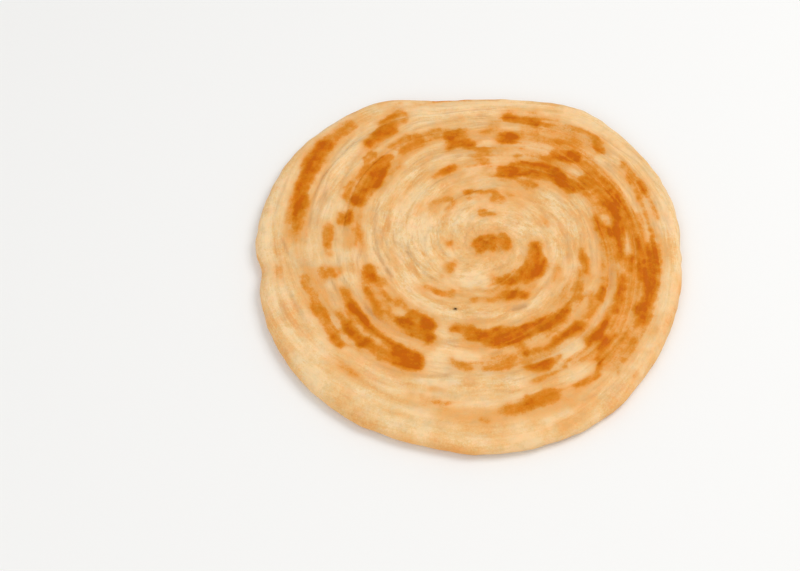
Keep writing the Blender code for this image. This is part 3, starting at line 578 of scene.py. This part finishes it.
def lattice_noise(x, y, value_at):
    """Smooth noise between the values at whole numbers of x and y."""
    column, row = np.floor(x).astype(int), np.floor(y).astype(int)
    across, along = x - column, y - row
    across = across * across * (3.0 - 2.0 * across)
    along = along * along * (3.0 - 2.0 * along)
    near = value_at(column, row) * (1.0 - across) + value_at(column + 1, row) * across
    far = value_at(column, row + 1) * (1.0 - across) + value_at(column + 1, row + 1) * across
    return near * (1.0 - along) + far * along


def plane_noise(x, y, cell, draw):
    """Noise from 0 to 1 with the same grain in every direction."""
    count = 256
    table = np.random.RandomState(SEED + draw).rand(count, count)
    return lattice_noise(x / cell, y / cell, lambda i, j: table[i % count, j % count])


def coil_noise(place, angle, across, along, draw):
    """Noise from 0 to 1 drawn out along the pleats: cells across each pleat, and in each turn."""
    count = 512
    table = np.random.RandomState(SEED + draw).rand(count, along)

    def value_at(i, j):
        turn = j // along
        return table[(i + PLEATS_SIDE_BY_SIDE * across * turn) % count, j - along * turn]

    return lattice_noise(place * across, np.mod(angle, TAU) / TAU * along, value_at)


def rim_noise(angle, cells, draw):
    """Noise from 0 to 1 that changes only round the rim."""
    return plane_noise(np.cos(angle) * cells, np.sin(angle) * cells, 1.0, draw)


def along_stroke(angle, start, end):
    """Each point's turn from a stroke's middle, half its sweep, and how far along it the point is."""
    middle, half_sweep = math.radians(start + end) / 2.0, math.radians(end - start) / 2.0
    turned = angle_from(angle, middle)
    return turned, half_sweep, np.clip(turned / half_sweep, -1.0, 1.0) * 0.5 + 0.5


def banded(patches, angle, radius, ragged, soft, halo):
    """How brown the bands make each point; ragged moves their edges out, soft is how far they fade,
    and halo is how brown the faint ring round each one is."""
    plain, most, widest = np.ones_like(angle), np.zeros_like(angle), np.zeros_like(angle)
    for start, end, near, far, near_width, far_width, percent in patches:
        strength = percent / 100.0
        turned, half_sweep, share = along_stroke(angle, start, end)
        line = (near + (far - near) * share) * MM
        half_width = (near_width + (far_width - near_width) * share) * MM
        level = np.maximum(half_sweep * radius - BAND_BLUNT * half_width, 0.0)
        beyond = np.maximum(np.abs(turned) * radius - level, 0.0)
        outside = np.hypot(radius - line, beyond) - half_width - BAND_GROWN - ragged
        fade = np.minimum(soft, BAND_FADE_MOST * half_width)
        core = strength * (1.0 - smoothstep(-fade, fade, outside))
        plain = plain * (1.0 - core)
        most = np.maximum(most, core)
        widest = np.maximum(widest, strength * halo * (1.0 - smoothstep(-fade, HALO_REACH, outside)))
    return np.maximum(most + BAND_OVERLAP * (1.0 - plain - most), widest)


def open_seams(angle, radius, wander):
    """How deep in an open seam each point is, and how near the raised edge inside one."""
    deep, edge = np.zeros_like(angle), np.zeros_like(angle)
    for start, end, near, far, half_width, percent in OPEN_SEAMS:
        strength = percent / 100.0
        turned, half_sweep, share = along_stroke(angle, start, end)
        off = radius - (near + (far - near) * share) * MM - wander
        ends = 1.0 - smoothstep(SEAM_ENDS_FROM, 1.0, np.abs(turned) / half_sweep)
        deep = np.maximum(deep, strength * ends * bump(off, half_width * MM))
        edge = np.maximum(edge, min(strength, 1.0) * ends * bump(off + SEAM_EDGE_AT, SEAM_EDGE_WIDTH))
    return deep, edge


def graded_rings(limit, across, along):
    """Rings of points that fill a disc evenly: angles and distances out."""
    angles, radii = [np.zeros(1)], [np.zeros(1)]
    ring_count = int(round(limit / across))
    for ring in range(1, ring_count + 1):
        radius = limit * ring / ring_count
        count = max(6, int(round(TAU * radius / along)))
        angles.append((np.arange(count) + 0.5 * (ring % 2)) * TAU / count)
        radii.append(np.full(count, radius))
    return np.concatenate(angles), np.concatenate(radii)


def triangulated(angles, radii):
    """Triangles over a disc of points, anticlockwise."""
    points = [Vector(p) for p in zip(radii * np.cos(angles), radii * np.sin(angles))]
    result = delaunay_2d_cdt(points, [], [], 0, 1e-9)
    source = [indices[0] for indices in result[3]]
    return np.array([[source[v] for v in face] for face in result[2]])


def half_bread(limit, flat_height, across, along, rim_count):
    """One face of the bread and its half of the rim: angles, share out, base heights, triangles."""
    angle, radius = graded_rings(limit * MEAN_RADIUS, across, along)
    rings = [(angle, radius / MEAN_RADIUS, np.full(len(angle), flat_height), radius)]
    for ring in range(1, RIM_RINGS + 1):
        turn = math.pi / 2.0 * ring / RIM_RINGS
        angle = (np.arange(rim_count) + 0.5 * ((RIM_RINGS - ring) % 2)) * TAU / rim_count
        out = limit + (1.0 - limit) * math.sin(turn)
        height = EDGE_HEIGHT + (flat_height - EDGE_HEIGHT) * math.cos(turn)
        spread = limit * MEAN_RADIUS + ring * RIM_STEP
        rings.append((angle, *(np.full(rim_count, value) for value in (out, height, spread))))
    angle, out, height, spread = (np.concatenate(column) for column in zip(*rings))
    return angle, out, height, triangulated(angle, spread)


def film_edges(place, angle, out, x, y):
    """Film edges between the seams: relief from 0 to 1, a painted highlight on their edges, and painted
    shade in the creases between them.
    """
    place = place + FILM_STRAY * (plane_noise(x, y, *FILM_STRAYS) - 0.5)
    shown = smoothstep(0.3, 0.7, plane_noise(x, y, *FILM_PLACES))
    shown = FILM_EVERYWHERE + (1.0 - FILM_EVERYWHERE) * shown
    shown = shown * (1.0 - FILM_TURN_CALM * smooth_turn(angle, out))
    shown = shown * (1.0 - FILM_RIM_CALM * smoothstep(0.85, 1.0, out))
    relief, pale, crease = 0.0, 0.0, 0.0
    for noise, relief_share, (level, width, crease_share), (start, end, pale_share) in FOLDS:
        folds = coil_noise(place, angle, *noise)
        relief = relief + relief_share * folds
        pale = pale + pale_share * smoothstep(start, end, folds)
        crease = crease + crease_share * bump(folds - level, width)
    return relief * shown, pale * shown, crease * shown


def blisters(x, y):
    """Low bubbles of many sizes, scattered over the top."""
    draw = np.random.RandomState(SEED + 40)
    total = np.zeros_like(x)
    for _ in range(BLISTER_COUNT):
        radius, turn = MEAN_RADIUS * 0.9 * math.sqrt(draw.rand()), TAU * draw.rand()
        size = BLISTER_LEAST + BLISTER_MORE * draw.rand() ** 2
        stretch = 1.0 + draw.rand()
        dx, dy = x - radius * math.cos(turn), y - radius * math.sin(turn)
        outward = (dx * math.cos(turn) + dy * math.sin(turn)) / size
        sideways = (dy * math.cos(turn) - dx * math.sin(turn)) / (size * stretch)
        cap = np.clip(1.0 - outward ** 2 - sideways ** 2, 0.0, 1.0)
        total = np.maximum(total, cap ** 0.8 * draw.uniform(0.35, 1.0))
    return total


def dough_tone(place, angle, out, x, y):
    """How creamy the unbrowned dough is: 0 golden, 1 cream; creamier at the rim and its far side."""
    wide = plane_noise(x, y, *WIDE_TONES) - 0.5
    small = plane_noise(x, y, *SMALL_TONES) - 0.5
    along = (coil_noise(place, angle, *TONE_STREAKS) - 0.5) * smoothstep(0.05, 0.3, out)
    rim = RIM_TONE * smoothstep(0.86, 0.97, out) * (0.8 + 0.2 * np.cos(angle - RIM_TONE_ANGLE))
    far = FAR_TONE * smoothstep(0.75, 0.85, out) * bump(angle_from(angle, FAR_TONE_ANGLE), 0.5)
    return np.clip(TONE_MEAN + 0.8 * wide + 0.8 * small + along + rim + far, 0.0, 1.0)


def coil_coordinates(place, angle):
    """Four coordinates without a break for noise that is drawn out along the coil's winding."""
    across = TAU * place / PLEATS_SIDE_BY_SIDE
    reach = PLEATS_SIDE_BY_SIDE * MEAN_RADIUS / SEAMS_ACROSS / TAU
    return {
        "across_a": reach * np.cos(across),
        "across_b": reach * np.sin(across),
        "along_a": ALONG_REACH * np.cos(angle),
        "along_b": ALONG_REACH * np.sin(angle),
    }


def browned(place, angle, radius, x, y, read_angle, read_radius, stripes):
    """How brown the patches and tints make each point, and how pale the pale strips make it."""
    streaks = (coil_noise(place, angle, *STREAKS) - 0.5) * smoothstep(8.0 * MM, 24.0 * MM, radius)
    blots, specks, crumbs = (plane_noise(x, y, *noise) - 0.5 for noise in (BLOTS, SPECKS, CRUMBS))
    ragged = (1.15 * blots + 0.4 * streaks + 0.65 * specks + 0.3 * crumbs) * MM
    soft = BAND_SOFT * (0.6 + 0.8 * plane_noise(x, y, *PATCH_EDGES))
    brown = banded(BROWNED, read_angle, read_radius, ragged, soft, HALO_LEVEL)
    scorched = banded(SCORCHED, read_angle, read_radius, ragged, soft, 0.0)
    tint = banded(TINTED, read_angle, read_radius, 2.0 * ragged, TINT_SOFT, 0.0)
    pale = banded(PALE, read_angle, read_radius, 1.4 * ragged, PALE_SOFT, 0.0)
    flecks = smoothstep(-0.05, 0.5, 0.6 * blots + 0.8 * streaks + 0.5 * specks)
    tint = tint * (0.6 + 0.45 * stripes + 0.4 * flecks) * (1.0 - PALE_OVER_TINT * pale)
    uneven = 0.26 * streaks + 0.2 * specks + 0.14 * crumbs + 0.14 * blots
    brown = brown * (0.9 + uneven) * (1.0 - PALE_OVER_BROWN * pale)
    both = TINT_OVERLAP * np.minimum(brown, tint)
    return np.maximum(brown, tint) + both + SCORCH * scorched, pale


def top_surface(angle, out, base):
    """Places and colour fields of the top face and upper rim."""
    place = pleat_place(angle, out)
    share = np.mod(place, 1.0)
    strength = seam_strength(angle, out)
    radius = turn_radius(angle, out)
    x, y = radius * np.cos(angle), radius * np.sin(angle)
    upper = smoothstep(EDGE_HEIGHT, SHOULDER_HEIGHT, base)
    fall = (CROWN_HEIGHT - SHOULDER_HEIGHT) * (1.0 - (np.minimum(out, SHOULDER_AT) / SHOULDER_AT) ** 3)
    films, film_highlight, film_crease_shade = film_edges(place, angle, out, x, y)
    stripes = sum(part * coil_noise(place, angle, *noise) for part, *noise in STRIPES)
    lumps = sum(part * plane_noise(x, y, *noise) for part, *noise in LUMPS)

    # Each point as the camera's side sees it on the patches' level
    read_x = READ_STRETCH * x + READ_SHIFT
    read_y = READ_STRETCH * y + (fall + MEAN_RELIEF) / math.tan(CAMERA_ELEVATION)
    read_angle, read_radius = np.arctan2(read_y, read_x), np.hypot(read_x, read_y)
    wander = SEAM_WANDER * (plane_noise(x, y, *SEAM_STRAYS) - 0.5)
    seams, seam_edge = open_seams(read_angle, read_radius, wander)
    crumb_x = read_x - CRUMB_RADIUS * math.cos(CRUMB_ANGLE)
    crumb_y = read_y - CRUMB_RADIUS * math.sin(CRUMB_ANGLE)
    crumb = bump(np.hypot(crumb_x, crumb_y), CRUMB_SIZE)

    brown, pale = browned(place, angle, radius, x, y, read_angle, read_radius, stripes)
    groove = bump(1.0 - share, 1.3 * GROOVE_WIDTH) * strength
    brown = brown * (1.0 - 0.3 * np.clip(groove, 0.0, 1.0)) * (1.0 - 0.1 * film_crease_shade)
    side_brown = SIDE_BROWN * (1.0 - upper) * (0.5 + stripes)
    brown = np.clip(np.maximum(brown, side_brown), 0.0, 1.1)

    crease = tail_crease(angle, out)
    calm = 1.0 - FINE_CALM * smooth_turn(angle, out)
    broken = 0.16 + 0.7 * smoothstep(0.3, 1.0, coil_noise(place, angle, *PLEAT_BREAKS))
    relief = pleat_profile(share) * strength * broken + eye_curl(angle, out) + slow_waves(angle, out)
    relief += FILM_HEIGHT * films + (STRIPE_HEIGHT * stripes + DOUGH_HEIGHT * lumps) * calm
    relief += BLISTER_HEIGHT * blisters(x, y) * calm + CRUST_RISE * brown - TAIL_CREASE_DEPTH * crease
    relief += SEAM_DEPTH * (0.5 * seam_edge - seams) + CRUMB_HEIGHT * crumb
    height = base + fall + upper * relief
    excess = np.maximum(height - EASED_ABOVE, 0.0)
    height = height - excess + EASED_WITHIN * (1.0 - np.exp(-excess / EASED_WITHIN))
    # The lip's edge gets a painted highlight as well as its overhang
    lip = bump(share - LIP_WIDTH, LIP_EDGE_WIDTH) * np.clip(strength, 0.0, 1.0)
    radius = radius + upper * LIP_OVERHANG * lip * broken
    # Painted shade in the grooves, film creases, tail crease and open seams
    painted_crease_shade = 0.35 * groove * broken + 0.6 * film_crease_shade + 0.14 * crease + 0.9 * seams
    # Pale strips and streaks, with painted highlights on film edges, lips and raised seam edges
    pale_and_painted_highlight = 0.35 * stripes + 0.45 * film_highlight + 0.2 * lip + 0.5 * pale + 0.5 * seam_edge
    fields = {
        "brown": brown,
        "crease": np.clip(painted_crease_shade, 0.0, 1.3),
        "pale_and_highlight": np.clip(pale_and_painted_highlight, 0.0, 1.2),
        "crumb": crumb,
        "tone": dough_tone(place, angle, out, x, y) + PALE_TONE * pale,
        "fine": FINE_STREAKS * (1.0 - STREAKS_CALM * smooth_turn(angle, out)),
        **coil_coordinates(place, angle),
    }
    return radius, height, fields


def underside_surface(angle, out, base):
    """Places and colour fields of the underside and lower rim."""
    place = pleat_place(angle, out)
    share = np.mod(place, 1.0)
    radius = turn_radius(angle, out)
    x, y = radius * np.cos(angle), radius * np.sin(angle)
    groove = bump(share - UNDERSIDE_GROOVE_AT, UNDERSIDE_GROOVE_WIDTH) * seam_strength(angle, out)
    groove = groove * smoothstep(1.0, 1.25, out * MEAN_RADIUS / UNDERSIDE_FLAT_RADIUS)
    stripes = coil_noise(place, angle, *UNDER_STRIPES)
    lower = 1.0 - smoothstep(0.0, EDGE_HEIGHT, base)
    height = base + lower * (UNDERSIDE_SHARE * LIP_HEIGHT * groove + STRIPE_HEIGHT * stripes)
    spots = sum(part * plane_noise(x, y, *noise) for part, *noise in UNDER_SPOTS) + 0.25 * stripes
    brown = UNDER_BROWN + UNDER_STRIPED * stripes
    brown = brown * smoothstep(UNDER_BROWN_FROM, UNDER_BROWN_TO, spots)
    brown = np.maximum(brown, UNDER_TINT * smoothstep(UNDER_TINT_FROM, UNDER_BROWN_FROM, spots))
    brown = brown * (1.0 - smoothstep(0.86, 0.97, out)) * (1.0 - 0.7 * groove)
    fields = {
        "brown": np.maximum(brown * lower, SIDE_BROWN * (1.0 - lower) * (0.5 + stripes)),
        # Painted shade in the underside's grooves
        "crease": np.clip(0.8 * groove, 0.0, 1.0),
        "pale_and_highlight": 0.8 * stripes,
        "crumb": np.zeros_like(angle),
        "tone": dough_tone(place, angle, out, x, y),
        "fine": np.full_like(angle, FINE_STREAKS),
        **coil_coordinates(place, angle),
    }
    return radius, height, fields


def rim_layers(angle, height, out):
    """How far the rim is set back between its pressed layers."""
    share = np.mod(height / LAYER_HEIGHT + 2.2 * rim_noise(angle, *LAYER_STRAYS), 1.0)
    layers = 1.0 - smoothstep(0.0, 0.3, share) * (1.0 - 0.6 * share)
    dents = rim_noise(angle, *DENTS)
    return smoothstep(0.95, 1.0, out) * (LAYER_STEP * layers * dents + DENT_DEPTH * (dents - 0.5))


def make_bread():
    """The whole bread as one closed mesh with its colour fields, and where its eye is."""
    rim_count = int(round(TAU * MEAN_RADIUS / TOP_ALONG))
    upper = half_bread(SHOULDER_AT, SHOULDER_HEIGHT, TOP_ACROSS, TOP_ALONG, rim_count)
    lower = half_bread(FOOT_AT, 0.0, UNDER_ACROSS, UNDER_ALONG, rim_count)
    sheets = []
    for surface, (angle, out, base, _) in ((top_surface, upper), (underside_surface, lower)):
        radius, height, fields = surface(angle, out, base)
        radius = radius - rim_layers(angle, height, out)
        points = np.stack([radius * np.cos(angle), radius * np.sin(angle), height], axis=1)
        sheets.append((points, fields))
    (top_points, top_fields), (low_points, low_fields) = sheets

    # Both halves end in the same ring, which is kept once
    top_count, low_count = len(top_points), len(low_points)
    keep = low_count - rim_count
    renumber = np.arange(low_count) + top_count
    renumber[keep:] = np.arange(top_count - rim_count, top_count)
    faces = np.concatenate([upper[3], renumber[lower[3]][:, ::-1]])
    points = np.concatenate([top_points, low_points[:keep]])
    low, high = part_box("parotta")
    middle = (points.min(axis=0) + points.max(axis=0)) / 2.0
    shift = np.array([(low.x + high.x) / 2.0 - middle[0], (low.y + high.y) / 2.0 - middle[1], 0.0])
    points = points + shift
    points[:, 2] = np.maximum(points[:, 2], 0.0)
    mesh = bpy.data.meshes.new("bread")
    mesh.from_pydata(points.tolist(), [], faces.tolist())
    mesh.validate()
    for name in top_fields:
        values = np.concatenate([top_fields[name], low_fields[name][:keep]])
        attribute = mesh.attributes.new(name, "FLOAT", "POINT")
        attribute.data.foreach_set("value", values.astype(np.float32))
    mesh.shade_smooth()
    bread = bpy.data.objects.new("bread", mesh)
    bpy.context.scene.collection.objects.link(bread)
    return bread, Vector(shift)


class Nodes:
    """Short names for adding and linking shader nodes."""

    def __init__(self, material):
        material.use_nodes = True
        self.tree = material.node_tree
        self.shader = self.tree.nodes["Principled BSDF"]

    def fill(self, node, inputs):
        """Set a node's inputs to values, or link them to other nodes' outputs."""
        for name, value in inputs.items():
            if isinstance(value, bpy.types.NodeSocket):
                self.tree.links.new(value, node.inputs[name])
            else:
                node.inputs[name].default_value = value

    def add(self, kind, inputs, **settings):
        node = self.tree.nodes.new(kind)
        for name, value in settings.items():
            setattr(node, name, value)
        self.fill(node, inputs)
        return node

    def field(self, name):
        return self.add("ShaderNodeAttribute", {}, attribute_name=name).outputs["Fac"]

    def texture(self, inputs, scale, detail, roughness, **settings):
        inputs = {**inputs, "Scale": scale, "Detail": detail, "Roughness": roughness}
        return self.add("ShaderNodeTexNoise", inputs, **settings).outputs["Fac"]

    def noise(self, scale, detail, roughness):
        place = self.add("ShaderNodeTexCoord", {}).outputs["Object"]
        return self.texture({"Vector": place}, scale, detail, roughness)

    def streaks(self, scale, detail, roughness):
        """Noise drawn out along the coil."""
        names = {"X": "across_a", "Y": "across_b", "Z": "along_a"}
        place = self.add("ShaderNodeCombineXYZ", {axis: self.field(name) for axis, name in names.items()})
        inputs = {"Vector": place.outputs["Vector"], "W": self.field("along_b")}
        return self.texture(inputs, scale, detail, roughness, noise_dimensions="4D")

    def blotches(self, scale, low, high, most):
        """Soft blotches: 0 where noise is below low, up to most where it is above high."""
        value = self.noise(scale, 2.0, 0.5)
        inputs = {"Value": value, "From Min": low, "From Max": high, "To Max": most}
        return self.add("ShaderNodeMapRange", inputs, interpolation_type="SMOOTHSTEP").outputs["Result"]

    def math(self, operation, first, second=0.0, third=0.0, clamp=False):
        inputs = {0: first, 1: second, 2: third}
        return self.add("ShaderNodeMath", inputs, operation=operation, use_clamp=clamp).outputs[0]

    def centred(self, noise):
        """Noise shifted to lie evenly about 0."""
        return self.math("SUBTRACT", noise, 0.5)

    def sum_up(self, start, *weighted, clamp=False):
        """A start value plus each value times its weight."""
        for value, weight in weighted:
            start = self.math("MULTIPLY_ADD", value, weight, start)
        return self.math("ADD", start, clamp=clamp)

    def mix(self, share, first, second, blend="MIX"):
        inputs = {"Factor": share, "A": first, "B": second}
        return self.add("ShaderNodeMix", inputs, data_type="RGBA", blend_type=blend).outputs["Result"]

    def ramp(self, share, stops):
        node = self.add("ShaderNodeValToRGB", {"Fac": share})
        elements = node.color_ramp.elements
        while len(elements) < len(stops):
            elements.new(0.5)
        for element, (position, colour) in zip(elements, stops):
            element.position = position
            element.color = colour
        return node.outputs["Color"]


def linear(colour):
    """Scene colour of a screen colour given from 0 to 255."""
    parts = [c / 255.0 for c in colour]
    return (*((c / 12.92 if c <= 0.04045 else ((c + 0.055) / 1.055) ** 2.4) for c in parts), 1.0)


def crust_material():
    """Pale dough films that brown in patches, with oil in them."""
    material = bpy.data.materials.new("crust")
    nodes = Nodes(material)
    grain, mottle, pores = (nodes.centred(nodes.noise(*kind)) for kind in (GRAIN, MOTTLE, PORES))
    fibres, threads = (nodes.centred(nodes.streaks(*kind)) for kind in (FIBRES, THREADS))
    brown = nodes.field("brown")
    edge = nodes.math("MULTIPLY", nodes.math("SUBTRACT", 1.3, brown), brown)
    shift = nodes.sum_up(0.0, (mottle, 0.5), (grain, 0.95), (fibres, 0.55), (threads, 0.45), (pores, 0.85))
    brown = nodes.math("MULTIPLY_ADD", shift, edge, brown, clamp=True)
    fine = nodes.field("fine")
    tone = nodes.sum_up(nodes.field("tone"), (fibres, fine), (threads, fine))
    tone = nodes.sum_up(tone, (pores, 1.1), (grain, 0.9), (mottle, 0.7), clamp=True)
    dough = nodes.ramp(tone, [(at, linear(colour)) for at, colour in DOUGH_COLOURS])
    for *noise, colour in DOUGH_BLOTCHES:
        dough = nodes.mix(nodes.blotches(*noise), dough, linear(colour))
    # Pale strips and streaks with painted highlights, then painted shade in creases, grooves and seams
    for name, share, colour in DOUGH_FIELDS:
        dough = nodes.mix(nodes.math("MULTIPLY", nodes.field(name), share), dough, linear(colour))
    crust = nodes.ramp(brown, [(at, linear(colour)) for at, colour in CRUST_COLOURS])
    crust = nodes.mix(nodes.math("MULTIPLY", brown, 2.0, clamp=True), dough, crust)
    crumb = nodes.math("MULTIPLY", nodes.field("crumb"), 1.6, clamp=True)
    crust = nodes.mix(crumb, crust, linear(CRUMB_COLOUR))
    hue_streaks = nodes.centred(nodes.streaks(*HUE_STREAKS))
    hue_blotches = nodes.centred(nodes.noise(*HUE_BLOTCHES))
    hue = nodes.sum_up(0.5, (hue_streaks, 1.5), (hue_blotches, 1.2), clamp=True)
    hue = nodes.ramp(hue, ((0.0, HUE_COOL), (0.5, WHITE), (1.0, HUE_WARM)))
    bump_height = nodes.sum_up(nodes.noise(*BUMPS), (fibres, 1.5), (threads, 1.0))
    bumps = {"Strength": BUMP_STRENGTH, "Distance": BUMP_HEIGHT, "Height": bump_height}
    nodes.fill(nodes.shader, {
        "Base Color": nodes.mix(1.0, crust, hue, "MULTIPLY"),
        "Roughness": nodes.sum_up(ROUGHNESS, (mottle, 0.25), (brown, -0.12)),
        "Normal": nodes.add("ShaderNodeBump", bumps).outputs["Normal"],
        "Subsurface Weight": SUBSURFACE,
        "Subsurface Radius": SUBSURFACE_RADIUS,
        "Subsurface Scale": SUBSURFACE_SCALE,
        "Specular IOR Level": SPECULAR,
    })
    return material


def make_floor():
    """A plain pale floor, wide enough to fill the view."""
    bpy.ops.mesh.primitive_plane_add(size=FLOOR_SIZE, location=(0.0, 0.0, -FLOOR_GAP))
    floor = bpy.context.object
    floor.name = "floor"
    material = bpy.data.materials.new("floor")
    nodes = Nodes(material)
    nodes.fill(nodes.shader, {"Base Color": FLOOR_COLOUR, "Roughness": FLOOR_ROUGHNESS})
    floor.data.materials.append(material)


def light_scene():
    """Soft studio light, a little stronger from the far right."""
    world = bpy.data.worlds.new("studio")
    world.use_nodes = True
    surround = world.node_tree.nodes["Background"]
    surround.inputs["Color"].default_value = WHITE
    surround.inputs["Strength"].default_value = WORLD_STRENGTH
    bpy.context.scene.world = world
    for name, place, size, power in LIGHTS:
        data = bpy.data.lights.new(name, "AREA")
        data.shape = "SQUARE"
        data.size = size
        data.energy = power
        light = bpy.data.objects.new(name, data)
        light.location = place
        light.rotation_euler = (-Vector(place)).to_track_quat("-Z", "Y").to_euler()
        bpy.context.scene.collection.objects.link(light)
    bpy.context.scene.view_settings.view_transform = "Standard"


def make_camera(eye):
    """Look down on the bread from its near side, then turn so that it sits right of the middle."""
    data = bpy.data.cameras.new("camera")
    data.lens = CAMERA_LENS
    data.sensor_width = CAMERA_SENSOR
    camera = bpy.data.objects.new("camera", data)
    bpy.context.scene.collection.objects.link(camera)
    looked_at = eye + Vector((*VIEW_POINT_FROM_EYE, SHOULDER_HEIGHT))
    back = Vector((0.0, -math.cos(CAMERA_ELEVATION), math.sin(CAMERA_ELEVATION)))
    facing = Matrix.Rotation(math.pi / 2.0 - CAMERA_ELEVATION, 4, "X")
    turned = Matrix.Rotation(TURN_LEFT, 4, "Y") @ Matrix.Rotation(-TURN_DOWN, 4, "X")
    camera.matrix_world = Matrix.Translation(looked_at + back * CAMERA_DISTANCE) @ facing @ turned
    bpy.context.scene.camera = camera


bread, eye_place = make_bread()
bread.data.materials.append(crust_material())
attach(bread, "root")
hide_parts("parotta")
make_camera(eye_place)
make_floor()
light_scene()
